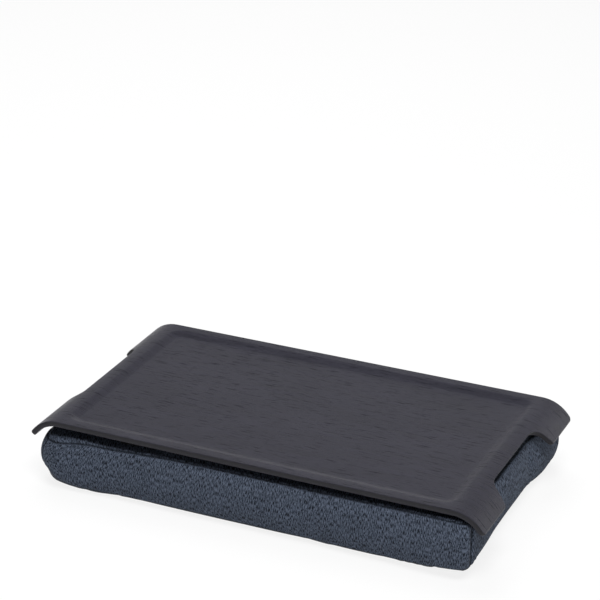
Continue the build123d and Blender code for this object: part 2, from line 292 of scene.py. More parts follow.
def strip_faces(shape):
    """Faces of a closed strip: a grid of points on its face, the same on its back, and the rim."""
    number = np.arange(shape[0] * shape[1]).reshape(shape)
    back = number + number.size
    rim = [np.concatenate((n[:-1, 0], n[-1, :-1], n[:0:-1, -1], n[0, :0:-1])) for n in (number, back)]
    following = [np.roll(numbers, -1) for numbers in rim]
    sides = np.stack((rim[1], following[1], following[0], rim[0]), axis=1)
    return quads(number) + quads(back.T) + sides.tolist()


def piece(name, points, faces, finish, body, stands_for=(), rows=None, sharp=radians(40)):
    """One finished object of the part, riding on a body and standing for its CAD nodes."""
    mesh = bpy.data.meshes.new(name)
    mesh.from_pydata(np.asarray(points).tolist(), [], faces)
    mesh.shade_smooth()
    mesh.set_sharp_from_angle(angle=sharp)
    mesh.materials.append(finish)
    if rows is not None:
        place = mesh.attributes.new("place", "FLOAT_VECTOR", "POINT")
        place.data.foreach_set("vector", np.asarray(rows, np.float32).ravel())
    made = bpy.data.objects.new(name, mesh)
    bpy.context.scene.collection.objects.link(made)
    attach(made, body)
    if stands_for:
        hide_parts(*stands_for)
    return made


def relief_bar(origin, along, across, size, lines, relief):
    """Points, faces and places of a strip whose face has a relief.

    The relief gives the height of the face from each point's place along and across it.
    """
    length, width = size
    along = np.array(along, float)
    across = np.array(across, float)
    out = np.cross(along, across)
    a, b = np.meshgrid(lines[0] * length, lines[1] * width, indexing="ij")
    upper = relief(a, b)
    flat = np.array(origin) + a[..., None] * along + b[..., None] * across
    face = (flat + upper[..., None] * out).reshape(-1, 3)
    back = flat.reshape(-1, 3)
    place = np.stack((a, b, upper), axis=-1).reshape(-1, 3)
    return np.vstack((face, back)), strip_faces(a.shape), np.vstack((place, place))


def edged_lines(cells, edge_share):
    """Even lines from 0 to 1 with a few more close to both ends, to round the edges."""
    near = edge_share * np.array((0.06, 0.2, 0.45, 0.8))
    even = np.linspace(0, 1, cells + 1)
    inner = even[(even > edge_share) & (even < 1 - edge_share)]
    return np.concatenate(((0,), near, inner, 1 - near[::-1], (1,)))


def rounding(place, size, radius):
    """Share of the full height near both sides of a strip, for a round edge."""
    side = np.clip(np.minimum(place, size - place) / radius, 0, 1)
    return np.sqrt(1 - (1 - side) ** 2)


# Finishes


class Nodes:
    """A node tree under construction: nodes are added and fed in one call."""

    def __init__(self, tree):
        self.tree = tree

    def add(self, kind, inputs=None, **settings):
        """A new node of one kind, with its inputs set or linked."""
        node = self.tree.nodes.new("ShaderNode" + kind)
        for key, value in settings.items():
            setattr(node, key, value)
        for key, value in (inputs or {}).items():
            self.feed(node, key, value)
        return node

    def feed(self, node, key, value):
        """Sets one input, or links it if the value is another node's output."""
        if isinstance(value, bpy.types.NodeSocket):
            self.tree.links.new(value, node.inputs[key])
        else:
            node.inputs[key].default_value = value

    def math(self, operation, first, second):
        """One sum of two values."""
        return self.add("Math", {0: first, 1: second}, operation=operation).outputs[0]


class Finish(Nodes):
    """The nodes of one material."""

    def __init__(self, name):
        self.material = bpy.data.materials.new(name)
        self.material.use_nodes = True
        super().__init__(self.material.node_tree)
        self.shader = self.tree.nodes["Principled BSDF"]

    def place(self):
        """The place on the flat cloth or board, kept with each mesh."""
        return self.add("Attribute", attribute_name="place").outputs["Vector"]

    def position(self):
        """The place on the object itself."""
        return self.add("TexCoord").outputs["Object"]

    def scaled(self, vector, scale):
        """A place stretched by three factors."""
        return self.add("VectorMath", {0: vector, 1: scale}, operation="MULTIPLY").outputs[0]

    def noise(self, vector, detail=2.0, roughness=0.5, scale=1.0):
        """Smooth noise of a place."""
        inputs = {"Vector": vector, "Scale": scale, "Detail": detail, "Roughness": roughness}
        return self.add("TexNoise", inputs).outputs["Fac"]

    def between(self, value, low, high, start=0.0, end=1.0):
        """A value carried smoothly from one span to another."""
        inputs = {"Value": value, "From Min": low, "From Max": high, "To Min": start, "To Max": end}
        return self.add("MapRange", inputs, interpolation_type="SMOOTHSTEP").outputs["Result"]

    def drifted(self, place, scale, detail, axis, reach):
        """A place that wanders a little along one axis, for grain or yarn that isn't straight."""
        waves = self.noise(self.scaled(place, scale), detail=detail)
        bend = self.add("CombineXYZ", {axis: self.math("MULTIPLY", waves, reach)}).outputs[0]
        return self.add("VectorMath", {0: place, 1: bend}, operation="ADD").outputs[0]

    def woven(self, place, scale):
        """Height of a fine crossed weave."""
        along, across = (
            self.add("TexWave", {"Vector": place, "Scale": scale}, bands_direction=axis).outputs["Fac"]
            for axis in "XY")
        return self.math("MULTIPLY", along, across)

    def mixed(self, share, first, second, blend="MIX"):
        """One colour between two."""
        node = self.add("Mix", data_type="RGBA", blend_type=blend)
        self.feed(node, 0, share)
        self.feed(node, 6, first)
        self.feed(node, 7, second)
        return node.outputs[2]

    def bump(self, height, distance, strength=1.0, normal=None):
        """A normal tilted by a height."""
        inputs = {"Height": height, "Distance": distance, "Strength": strength}
        if normal is not None:
            inputs["Normal"] = normal
        return self.add("Bump", inputs).outputs["Normal"]

    def done(self, **inputs):
        """Feeds the shader and hands over the material."""
        for key, value in inputs.items():
            self.feed(self.shader, key.replace("_", " "), value)
        return self.material


def colour(rgb):
    """A colour with full opacity."""
    return (*rgb, 1.0)


def veneer_finish(settings):
    """Open-pored veneer with a dark satin stain, its grain along the tray."""
    make = Finish("veneer_stain")
    place = make.place()
    drift = make.drifted(place, (7, 22, 22), 3, "Y", 0.016)
    figure = make.noise(make.scaled(drift, (12, 190, 190)), detail=5, roughness=0.6)
    streaks = make.noise(make.scaled(drift, (46, 560, 560)), detail=3, roughness=0.6)
    pores = make.noise(make.scaled(drift, (110, 1700, 1700)), detail=2, roughness=0.6)
    patch = make.noise(make.scaled(place, (11, 20, 20)), detail=2)
    tone = make.between(figure, 0.30, 0.70, 0.86, 1.12)
    tone = make.math("MULTIPLY", tone, make.between(patch, 0.3, 0.7, 0.95, 1.05))
    stain = make.mixed(1.0, colour(settings.stain), tone, "MULTIPLY")
    share = make.math(
        "MAXIMUM", make.between(streaks, 0.55, 0.68, 0.0, 0.6), make.between(pores, 0.56, 0.70, 0.0, 0.55))
    base = make.mixed(share, stain, colour(settings.pore))
    rough = make.math("ADD", make.between(figure, 0.3, 0.7, 0.34, 0.42), make.math("MULTIPLY", share, 0.2))
    height = make.math("SUBTRACT", make.math("MULTIPLY", figure, 0.3), share)
    return make.done(
        Base_Color=base, Roughness=rough, Normal=make.bump(height, 0.00018, 0.6),
        IOR=1.5, Specular_IOR_Level=make.between(share, 0.0, 0.5, 0.3, 0.16))


def edge_finish(settings):
    """Stained edges of the thin plies, alternate ones end grain."""
    make = Finish("ply_edges")
    place = make.place()
    depth = make.add("SeparateXYZ", {0: place}).outputs["Z"]
    ply = make.math("PINGPONG", make.math("SUBTRACT", depth, face_veneer), 0.00095)
    lines = make.between(ply, 0.0, 0.00022, 0.55, 1.0)
    fibres = make.noise(make.scaled(place, (420, 420, 3200)), detail=4, roughness=0.7)
    tone = make.between(fibres, 0.3, 0.72, 0.65, 1.3)
    # The edge is darker near the top veneer and lighter lower down the core
    tone = make.math("MULTIPLY", tone, make.between(depth, face_veneer, 0.75 * core_depth, 0.7, 1.15))
    base = make.mixed(1.0, colour(settings.edge), make.math("MULTIPLY", lines, tone), "MULTIPLY")
    height = make.math("MULTIPLY", lines, fibres)
    return make.done(
        Base_Color=base, Roughness=make.between(fibres, 0.3, 0.7, 0.55, 0.75),
        Normal=make.bump(height, 0.00012, 0.7), Specular_IOR_Level=0.3)


def heather_finish(settings):
    """Woven heather cloth: dark and pale fibres that run down the walls, with painted shade along the
    seams.
    """
    make = Finish("heather")
    place = make.place()
    drift = make.drifted(place, (150, 90, 1), 1, "X", 0.0004)
    warp = make.noise(make.scaled(drift, (1550, 270, 0)), detail=2, roughness=0.6)
    fleck = make.noise(make.scaled(drift, (3400, 1300, 0)), detail=1)
    cloud = make.noise(make.scaled(place, (70, 45, 0)), detail=2)
    yarn = make.between(warp, 0.40, 0.60)
    yarn = make.math("MULTIPLY", yarn, make.between(fleck, 0.28, 0.66, 0.45, 1.15))
    yarn = make.math("ADD", yarn, make.between(cloud, 0.3, 0.7, -0.04, 0.04))
    base = make.mixed(yarn, colour(settings.dark_yarn), colour(settings.light_yarn))
    # Painted shade: within 2 mm of a seam the cloth is darkened to about a third, as if the crease along it
    # were shaded
    seam = make.add("SeparateXYZ", {0: place}).outputs["Z"]
    base = make.mixed(1.0, base, make.between(seam, 0.0004, 0.0020, 0.35, 1.0), "MULTIPLY")
    weave = make.math("MULTIPLY", make.woven(place, 520.0), 0.6)
    height = make.math("ADD", weave, make.math("MULTIPLY", warp, 0.5))
    return make.done(
        Base_Color=base, Roughness=make.between(fleck, 0.3, 0.7, 0.82, 0.95),
        Normal=make.bump(height, 0.0003, 0.8), Specular_IOR_Level=0.12,
        Sheen_Weight=0.02, Sheen_Roughness=0.5)


def plain_weave_finish(name, tint, pitch=0.0007, relief=0.0003, sheen=0.1):
    """Plain woven cloth or tape of one colour with a fine crossed weave."""
    make = Finish(name)
    place = make.place()
    waves_per_scale = 20
    weave = make.woven(place, 1 / (pitch * waves_per_scale) * 2 * pi)
    speck = make.noise(make.scaled(place, (900, 900, 900)), detail=2)
    tone = make.math("ADD", make.math("MULTIPLY", weave, 0.5), make.between(speck, 0.3, 0.7, 0.55, 0.95))
    base = make.mixed(1.0, colour(tint), tone, "MULTIPLY")
    return make.done(
        Base_Color=base, Roughness=make.between(speck, 0.3, 0.7, 0.8, 0.95),
        Normal=make.bump(weave, relief, 0.7), Specular_IOR_Level=0.2, Sheen_Weight=sheen)


def pile_finish(name, tint):
    """Dense short pile or hooks of a fastening strip."""
    make = Finish(name)
    position = make.position()
    tuft = make.add("TexVoronoi", {"Vector": position, "Scale": 1400.0}).outputs["Distance"]
    hair = make.noise(make.scaled(position, (2600, 2600, 2600)), detail=3)
    tone = make.math("ADD", make.between(tuft, 0, 0.8, 1.25, 0.5), make.math("MULTIPLY", hair, 0.3))
    base = make.mixed(1.0, colour(tint), tone, "MULTIPLY")
    return make.done(
        Base_Color=base, Roughness=make.between(hair, 0.3, 0.7, 0.7, 0.95),
        Normal=make.bump(make.math("SUBTRACT", hair, tuft), 0.0003, 0.8), Specular_IOR_Level=0.25)


def bead_finish():
    """Small white foam beads packed together, painted darker in the gaps between them."""
    make = Finish("foam_beads")
    cells = make.add("TexVoronoi", {"Vector": make.position(), "Scale": 330.0}).outputs["Distance"]
    # Painted shade: each bead is lighter at its middle and darker towards the gaps between beads
    base = make.mixed(make.between(cells, 0.2, 0.8), colour((0.8, 0.8, 0.79)), colour((0.55, 0.55, 0.54)))
    rough = make.between(cells, 0.0, 0.8, 0.5, 0.7)
    return make.done(Base_Color=base, Roughness=rough, Normal=make.bump(cells, -0.001, 0.9))


def metal_finish():
    """Dark plated metal with fine rub marks."""
    make = Finish("plated_metal")
    marks = make.noise(make.scaled(make.position(), (700, 3000, 3000)), detail=3)
    base = make.mixed(marks, colour((0.05, 0.05, 0.055)), colour((0.12, 0.12, 0.13)))
    rough = make.between(marks, 0.3, 0.7, 0.28, 0.42)
    return make.done(Base_Color=base, Roughness=rough, Normal=make.bump(marks, 0.00004, 0.5), Metallic=1.0)


def nylon_finish():
    """Black nylon of the zip's coils."""
    make = Finish("nylon_coil")
    marks = make.noise(make.scaled(make.position(), (1500, 1500, 1500)), detail=2)
    base = make.mixed(marks, colour((0.010, 0.011, 0.013)), colour((0.022, 0.023, 0.027)))
    rough = make.between(marks, 0.3, 0.7, 0.32, 0.5)
    return make.done(Base_Color=base, Roughness=rough, Normal=make.bump(marks, 0.00005, 0.4))


# Board


outline_step = 4 * MM
edge_steps = 7              # round each softened edge
border_rings = 13           # on the slope round the recess
floor_cells = (34, 20)      # of the recess's floor, along it and across it
floor_gap = 5 * MM          # from the foot of the slope to the first of them
lip_step = 1.4 * MM
lip_cells = 56
cut_places = 120            # along a lip, where the notch's cut is worked out


def recess_share(run, across):
    """Share of the recess's depth at places on the flat sheet."""
    room_x = np.abs(run) - (bend_start - recess_end_rim - recess_corner)
    room_y = np.abs(across) - (half_width - recess_rim - recess_corner)
    outside = np.hypot(np.maximum(room_x, 0), np.maximum(room_y, 0))
    border = outside + np.minimum(np.maximum(room_x, room_y), 0) - recess_corner
    return eased(np.clip(-border / recess_run, 0, 1))


def pressed(sheet):
    """Where points of the flat sheet lie in the moulded board: run, across and depth."""
    run, across, depth = sheet.T
    far = np.abs(run)
    turn = np.clip((far - bend_start) / lip_radius, 0, lip_angle)
    straight = np.clip(far - bend_start - lip_radius * lip_angle, 0, None)
    radius = lip_radius - depth
    x = np.minimum(far, bend_start) + radius * np.sin(turn) + straight * cos(lip_angle)
    z = tray_height - lip_radius + radius * np.cos(turn) - straight * sin(lip_angle)
    z = z - recess_depth * recess_share(run, across)
    return np.column_stack((np.copysign(x, run), across, z))


def cut_heights(depth):
    """Runs along one lip at a depth, and how high each lies along the notch's cut."""
    runs = np.linspace(bend_start, half_run, cut_places)
    points = pressed(np.column_stack((runs, np.zeros_like(runs), np.full_like(runs, depth))))
    edge = pressed(np.array([[bend_start + lip_radius * notch_bend, 0, 0]]))[0]
    heights = (edge[0] - points[:, 0]) * cos(notch_tilt) + (points[:, 2] - edge[2]) * sin(notch_tilt)
    return runs, heights


def corner_arc(before, corner, after, radius, step):
    """Points of the arc that rounds one corner of an outline."""
    corner = np.array(corner, float)
    first = np.array(before) - corner
    last = np.array(after) - corner
    first /= np.linalg.norm(first)
    last /= np.linalg.norm(last)
    half = np.arccos(np.clip(first @ last, -1, 1)) / 2
    middle = corner + (first + last) / np.linalg.norm(first + last) * radius / sin(half)
    start = corner + first * radius / np.tan(half) - middle
    end = corner + last * radius / np.tan(half) - middle
    turn = pi - 2 * half
    count = max(int(radius * turn / step), 6)
    share = np.linspace(0, 1, count + 1)[:, None]
    return middle + (np.sin((1 - share) * turn) * start + np.sin(share * turn) * end) / sin(turn)


def rounded_outline(corners, radii, step):
    """A closed outline with round corners, its straight stretches cut to even steps."""
    count = len(corners)
    arcs = [
        corner_arc(corners[i - 1], corners[i], corners[(i + 1) % count], radii[i], step / 3)
        for i in range(count)
    ]
    points = []
    for i, arc in enumerate(arcs):
        target = arcs[(i + 1) % count][0]
        cuts = max(int(np.linalg.norm(target - arc[-1]) / step), 1)
        shares = np.linspace(0, 1, cuts + 1)[1:-1, None]
        points += [arc, arc[-1] + shares * (target - arc[-1])]
    return np.vstack(points)


def board_outline():
    """The flat sheet's outline, with the notches still square to the sheet."""
    runs, heights = cut_heights(0)
    top = half_run + heights[-1]
    half_top = notch_top / 2
    half_mouth = half_top + notch_flare
    right = [
        (half_run, -half_width), (half_run, -half_mouth), (top, -half_top),
        (top, half_top), (half_run, half_mouth), (half_run, half_width),
    ]
    left = [(-run, across) for run, across in reversed(right)]
    radii = [lip_corner, notch_mouth_corner, notch_corner]
    return rounded_outline(right + left, (radii + radii[::-1]) * 2, outline_step)


def outline_at(outline, depth):
    """The outline as the tilted notches cut it at a depth."""
    runs, heights = cut_heights(depth)
    nominal = -cut_heights(0)[1][-1]
    in_notch = np.abs(outline[:, 1]) < notch_top / 2 + notch_flare + 2 * notch_mouth_corner
    height = (half_run - np.abs(outline[:, 0]) - nominal) * (-heights[-1] / nominal)
    run = np.interp(height, heights[::-1], runs[::-1])
    moved = outline.copy()
    moved[in_notch, 0] = np.copysign(run, outline[:, 0])[in_notch]
    return moved


def inward(outline, distance):
    """The outline moved inward by a small distance."""
    along = np.roll(outline, -1, axis=0) - np.roll(outline, 1, axis=0)
    along /= np.linalg.norm(along, axis=1)[:, None]
    return outline + np.column_stack((-along[:, 1], along[:, 0])) * distance[:, None]


def sheet_points(outline, spare):
    """Points inside the outline: close together on the recess's border and round the bends."""
    groups = []
    mouth_x = bend_start - recess_end_rim
    mouth_y = half_width - recess_rim
    for inset in np.linspace(0, recess_run, border_rings):
        x, y = mouth_x - inset, mouth_y - inset
        corners = [(x, -y), (x, y), (-x, y), (-x, -y)]
        groups.append(rounded_outline(corners, [recess_corner - inset] * 4, outline_step))
    floor_x = np.linspace(-1, 1, floor_cells[0]) * (mouth_x - recess_run - floor_gap)
    floor_y = np.linspace(-1, 1, floor_cells[1]) * (mouth_y - recess_run - floor_gap)
    lip_runs = np.arange(bend_start, half_run, lip_step)
    lip_runs = np.concatenate((-lip_runs[::-1], lip_runs))
    lip_across = np.linspace(-half_width, half_width, lip_cells)
    for xs, ys in ((floor_x, floor_y), (lip_runs, lip_across)):
        groups.append(np.stack(np.meshgrid(xs, ys), axis=-1).reshape(-1, 2))
    points = np.vstack(groups)
    following = np.roll(outline, -1, axis=0)
    inside = np.zeros(len(points), bool)
    for (ax, ay), (bx, by) in zip(outline, following):
        crosses = (ay > points[:, 1]) != (by > points[:, 1])
        if by != ay:
            inside ^= crosses & (points[:, 0] < ax + (points[:, 1] - ay) / (by - ay) * (bx - ax))
    gaps = np.array([np.min(np.hypot(*(outline - p).T)) for p in points])
    return points[inside & (gaps > spare)]


def filled(outline, points):
    """Triangles over the inside of an outline, by the numbers of its points and the inner ones."""
    count = len(outline)
    corners = [Vector(p) for p in np.vstack((outline, points))]
    edges = [(i, (i + 1) % count) for i in range(count)]
    result = delaunay_2d_cdt(corners, edges, [list(range(count))], 1, 1e-8)
    sources = result[3]
    return [[sources[corner][0] for corner in face] for face in result[2]]


def edge_inset(depth, radii):
    """How far the rounded edge of the board draws back at a depth."""
    near = min(depth, board_thickness - depth)
    return radii - np.sqrt(radii ** 2 - np.maximum(radii - near, 0) ** 2)


def board_layer(name, node, depths, arris, outline, finish):
    """One layer of the laminate as a closed mesh, its share of the round edges included."""
    tip = np.clip((np.abs(outline[:, 0]) - half_run + lip_corner) / lip_corner, 0, 1)
    radii = arris + (lip_round - arris) * tip
    fall = 1 - np.sin(np.linspace(pi / 2, 0, edge_steps))
    steps = np.unique(np.round(np.concatenate((arris * fall, lip_round * fall)), 5))
    marks = np.concatenate((steps, board_thickness - steps))
    spare = 0.02 * MM
    inner = sorted(m for m in marks if depths[0] + spare < m < depths[1] - spare)
    rings = [(edge_inset(depth, radii), depth) for depth in (depths[0], *inner, depths[1])]
    margin = 0.3 * MM
    rings = [(rings[0][0] + margin, depths[0])] + rings + [(rings[-1][0] + margin, depths[1])]
    loops = [inward(outline_at(outline, depth), inset) for inset, depth in rings]
    room = 1.6 * MM
    upper_points = sheet_points(loops[0], room)
    lower_points = sheet_points(loops[-1], room)
    count = len(outline)
    sheet = [np.column_stack((loop, np.full(count, depth))) for loop, (inset, depth) in zip(loops, rings)]
    sheet.append(np.column_stack((upper_points, np.full(len(upper_points), depths[0]))))
    sheet.append(np.column_stack((lower_points, np.full(len(lower_points), depths[1]))))
    after_rings = count * len(rings)
    upper_numbers = np.concatenate((np.arange(count), after_rings + np.arange(len(upper_points))))
    last = np.arange(count) + count * (len(rings) - 1)
    lower_numbers = np.concatenate((last, after_rings + len(upper_points) + np.arange(len(lower_points))))
    faces = [[int(upper_numbers[c]) for c in face] for face in filled(loops[0], upper_points)]
    faces += [[int(lower_numbers[c]) for c in face[::-1]] for face in filled(loops[-1], lower_points)]
    number = np.arange(after_rings).reshape(len(rings), count)
    faces += quads(np.column_stack((number, number[:, 0])))
    sheet = np.vstack(sheet)
    return piece(name, pressed(sheet), faces, finish, "tray", (node,), sheet)


class LAPTRAY_OT_board(bpy.types.Operator):
    """Builds the three layers of the moulded board"""

    bl_idname = "laptray.board"
    bl_label = "Board"

    def execute(self, context):
        settings = context.scene.lap_tray
        outline = board_outline()
        veneer = veneer_finish(settings)
        edge = edge_finish(settings)
        layers = (
            ("top_veneer", "tray_top_veneer", (0, face_veneer), veneer, "stained_veneer"),
            ("core_plies", "tray_core", (face_veneer, core_depth), edge, "ply_edge"),
            ("under_veneer", "tray_bottom_veneer", (core_depth, board_thickness), veneer, "stained_veneer"),
        )
        for name, node, depths, finish, slot in layers:
            board_layer(name, node, depths, settings.arris, outline, finish)
        return {"FINISHED"}


class LAPTRAY_OT_hook_strips(bpy.types.Operator):
    """Builds the two hook strips under the board"""

    bl_idname = "laptray.hook_strips"
    bl_label = "Hook Strips"

    def execute(self, context):
        finish = pile_finish("hook_pile", context.scene.lap_tray.strip)
        pitch = 1.3 * MM
        selvedge = 0.06
        for side in ("left", "right"):
            low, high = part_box(f"hook_strip_{side}")
            length, width, thick = high.y - low.y, high.x - low.x, high.z - low.z
            lines = (edged_lines(330, 0.003), edged_lines(40, 0.04))

            def hooks(a, b):
                """Rows of short hooks on a woven back with plain edges."""
                rows = np.abs(np.sin(a / pitch * pi) * np.sin(b / pitch * pi))
                inner = (b > selvedge * width) & (b < (1 - selvedge) * width)
                body = 0.55 + 0.45 * rows ** 0.6 * inner
                return thick * body * rounding(a, length, thick) * rounding(b, width, thick)

            points, faces, place = relief_bar(
                (low.x, low.y, high.z), (0, 1, 0), (1, 0, 0), (length, width), lines, hooks)
            node = f"hook_strip_{side}"
            piece(f"hooks_{side}", points, faces, finish, "tray", (node,), place)
        return {"FINISHED"}


# Cushion


columns, rows, tiers = 104, 60, 12
lattice = np.full((columns + 1, rows + 1, tiers + 1), -1)
surface = np.ones_like(lattice, bool)
surface[1:-1, 1:-1, 1:-1] = False
lattice[surface] = np.arange(surface.sum())
panel_numbers = {
    "top": lattice[:, :, -1],
    "bottom": lattice[:, ::-1, 0],
    "front": lattice[:, 0, :],
    "right": lattice[-1, :, :],
    "back": lattice[::-1, -1, :],
    "left": lattice[0, ::-1, :],
}


def closed_form():
    """Faces over the whole lattice."""
    return [face for numbers in panel_numbers.values() for face in quads(numbers)]


def wall_inset(share):
    """How far the wall lies behind its fullest line at a share of its height."""
    over = max((share - full_share) / (1 - full_share), 0)
    under = max((full_share - share) / full_share, 0)
    return top_inset * over ** 2.3 + foot_inset * under ** 2


def side_line(side, inset, looseness, fullness, footing, count):
    """Plan points of one side from corner seam to corner seam, and their distance to both."""
    half, out = (cushion_x, cushion_y) if side in ("front", "back") else (cushion_y, cushion_x)
    half, out = half - inset, out - inset
    first, last = (corner.radius + looseness * corner.loose for corner in side_ends[side])
    arc_places, straight_places = 12, 160
    before = np.linspace(pi / 2 - side_ends[side][0].turn, 0, arc_places)
    after = np.linspace(0, side_ends[side][1].turn, arc_places)
    place = np.linspace(first - half, half - last, straight_places)
    share = 2 * (place - place[0]) / (place[-1] - place[0]) - 1
    if side == "back":
        ease = np.clip((np.abs(place) - zip_half) / (half - last - zip_half), 0, 1)
        dip = back_draw * (1 - eased(ease))
    else:
        dip = (front_draw if side == "front" else side_draw) * np.cos(share * pi / 2) ** 2
    start = np.column_stack((first - half - first * np.sin(before), out - first * (1 - np.cos(before))))
    middle = np.column_stack((place, out - dip))
    end = np.column_stack((half - last + last * np.sin(after), out - last * (1 - np.cos(after))))
    line = np.vstack((start[:-1], middle, end[1:]))
    run = walked(line)
    at = np.linspace(0, run[-1], count)
    along, away = np.interp(at, run, line[:, 0]), np.interp(at, run, line[:, 1])
    lean = np.concatenate((-np.sin(before[:-1]), np.zeros(len(place)), np.sin(after[1:])))
    lean = np.interp(at, run, lean)
    for corner, distance in zip(side_ends[side], (at, run[-1] - at)):
        push = corner.fill * fullness * bell(distance, corner.spread)
        push += corner.swell * (1 + footing) * bell(distance, swell_reach)
        along, away = along + push * lean, away + push * np.sqrt(1 - lean**2)
    sag = np.zeros(count)
    for fold in folds:
        if fold.side == side:
            near = bell(along - fold.place, fold.width)
            away = away - fold.depth * near * (0.35 + 0.65 * looseness)
            sag += fold.sag * near
    turned = {
        "front": (along, -away), "right": (away, along),
        "back": (-along, away), "left": (-away, -along),
    }
    return np.column_stack(turned[side]), (at, run[-1] - at), sag


def laid_between(edges):
    """A sheet of points spread between four edge rows: front, back, left and right."""
    front, back, left, right = edges
    u = np.linspace(0, 1, len(front))[:, None, None]
    v = np.linspace(0, 1, len(left))[None, :, None]
    ruled = (1 - v) * front[:, None] + v * back[:, None] + (1 - u) * left[None] + u * right[None]
    near = (1 - u) * front[0] + u * front[-1]
    far = (1 - u) * back[0] + u * back[-1]
    return ruled - (1 - v) * near - v * far


def dome_share(sheet, runs, stretch, power):
    """Share of a panel's full rise, from its seams inward to its flat."""
    along, across = walked(sheet[:, sheet.shape[1] // 2]), walked(sheet[sheet.shape[0] // 2])
    blend = runs[0] + (runs[1] - runs[0]) * along / along[-1]
    along_room = np.minimum(along / runs[0], (along[-1] - along) / runs[1])[:, None]
    across_room = np.minimum(across, across[-1] - across)[None] / (stretch * blend[:, None])
    smallest = 1e-6
    room = (np.maximum(along_room, smallest) ** -3 + np.maximum(across_room, smallest) ** -3) ** (-1 / 3)
    return np.sin(np.clip(room, 0, 1) * pi / 2) ** power


def cushion_points():
    """The cushion's surface before the beads push it out, as points of the lattice."""
    points = np.zeros((surface.sum(), 3))
    for tier in range(tiers + 1):
        share = tier / tiers
        looseness = abs(share - full_share) / (1 - full_share if share > full_share else full_share)
        for side, ends in side_ends.items():
            numbers = panel_numbers[side][:, tier]
            fullness, footing = (looseness ** 2.3, 0) if share > full_share else (0, looseness ** 2)
            line, to_corners, sag = side_line(
                side, wall_inset(share), looseness ** 2, fullness, footing, len(numbers))
            low = bottom_seam
            high = top_seam + seam_lift - sag
            for corner, distance in zip(ends, to_corners):
                low = low + corner.rise * bell(distance, corner.lift_spread)
                high = high - corner.droop * bell(distance, corner.spread)
                high = high - corner.slack * bell(distance, slack_reach)
            points[numbers] = np.column_stack((line, low + share * (high - low)))
    sheets = ((-1, cushion_top, crown_runs, crown_stretch, 1.2), (0, 0.0, base_runs, 1.0, 1.5))
    for tier, level, runs, stretch, power in sheets:
        numbers = lattice[:, :, tier]
        edges = points[numbers[:, 0]], points[numbers[:, -1]], points[numbers[0]], points[numbers[-1]]
        sheet = laid_between(edges)
        share = dome_share(sheet, runs, stretch, power)
        sheet[..., 2] += (level - sheet[..., 2]) * share
        points[numbers] = sheet
    return points


def sway(points):
    """The cushion leaned a little to one side, but not at the zip."""
    share = np.clip((zip_face - points[:, 1]) / (zip_face / 2), 0, 1)
    moved = points.copy()
    moved[:, 0] -= side_shift * eased(share)
    return moved


def evened(shift):
    """A shift of every point of the lattice, shared out among its neighbours many times over."""
    pairs = []
    for numbers in panel_numbers.values():
        pairs.append(np.column_stack((numbers[:-1].ravel(), numbers[1:].ravel())))
        pairs.append(np.column_stack((numbers[:, :-1].ravel(), numbers[:, 1:].ravel())))
    first, second = np.vstack(pairs).T
    counts = np.bincount(np.concatenate((first, second)))[:, None]
    for turn in range(evening_rounds):
        total = np.zeros_like(shift)
        np.add.at(total, first, shift[second])
        np.add.at(total, second, shift[first])
        shift = (shift + total / counts) / 2
    return shift


def settled(points, settings):
    """The cushion's points once the beads have filled out its cloth.

    The cover keeps its size: only the dents and gathers of the settling stay.
    """
    mesh = bpy.data.meshes.new("settling")
    mesh.from_pydata(points.tolist(), [], closed_form())
    cloth_piece = bpy.data.objects.new("settling", mesh)
    bpy.context.scene.collection.objects.link(cloth_piece)
    held = cloth_piece.vertex_groups.new(name="held")
    seams = cloth_piece.vertex_groups.new(name="seams")
    pressed_flat = (points[:, 2] > cushion_top - 0.3 * MM) | (points[:, 2] < 0.2 * MM)
    beside_zip = (points[:, 1] > zip_face - 4 * MM) & (np.abs(points[:, 0]) < zip_half + 6 * MM)
    beside_zip &= np.abs(points[:, 2] - zip_height) < zip_opening
    under_board = lattice[2:-2, 2:-2, -1].ravel()
    held.add(np.nonzero(pressed_flat | beside_zip)[0].tolist(), 1.0, "REPLACE")
    held.add(under_board.tolist(), 1.0, "REPLACE")
    for numbers in panel_numbers.values():
        rim = np.concatenate((numbers[0], numbers[-1], numbers[:, 0], numbers[:, -1]))
        seams.add(rim.tolist(), 1.0, "REPLACE")
    modifier = cloth_piece.modifiers.new("Cloth", "CLOTH")
    cloth = modifier.settings
    cloth.quality = 6
    cloth.mass = 0.25
    cloth.tension_stiffness = 25
    cloth.compression_stiffness = 25
    cloth.shear_stiffness = 8
    cloth.bending_stiffness = 0.4
    cloth.use_pressure = True
    cloth.uniform_pressure_force = settings.pressure
    cloth.effector_weights.gravity = 0
    cloth.vertex_group_mass = "held"
    cloth.vertex_group_shrink = "seams"
    cloth.shrink_max = settings.gather
    modifier.point_cache.frame_start = 1
    modifier.point_cache.frame_end = settling_steps
    for step in range(1, settling_steps + 1):
        bpy.context.scene.frame_set(step)
    shaped = cloth_piece.evaluated_get(bpy.context.evaluated_depsgraph_get()).data
    moved = np.zeros(len(points) * 3)
    shaped.vertices.foreach_get("co", moved)
    bpy.data.objects.remove(cloth_piece)
    bpy.context.scene.frame_set(1)
    shift = moved.reshape(-1, 3) - points
    shift -= evened(shift)
    far = np.linalg.norm(shift, axis=1)[:, None]
    shift *= np.minimum(1, settings.reach / np.maximum(far, 1e-9))
    return points + shift


def outward(points):
    """The direction away from the cushion at every point of the lattice."""
    total = np.zeros_like(points)
    for numbers in panel_numbers.values():
        a, b, c, d = cell_corners(numbers)
        facing = np.cross(points[c] - points[a], points[d] - points[b])
        for corner in (a, b, c, d):
            np.add.at(total, corner.ravel(), facing.reshape(-1, 3))
    return total / np.linalg.norm(total, axis=1)[:, None]


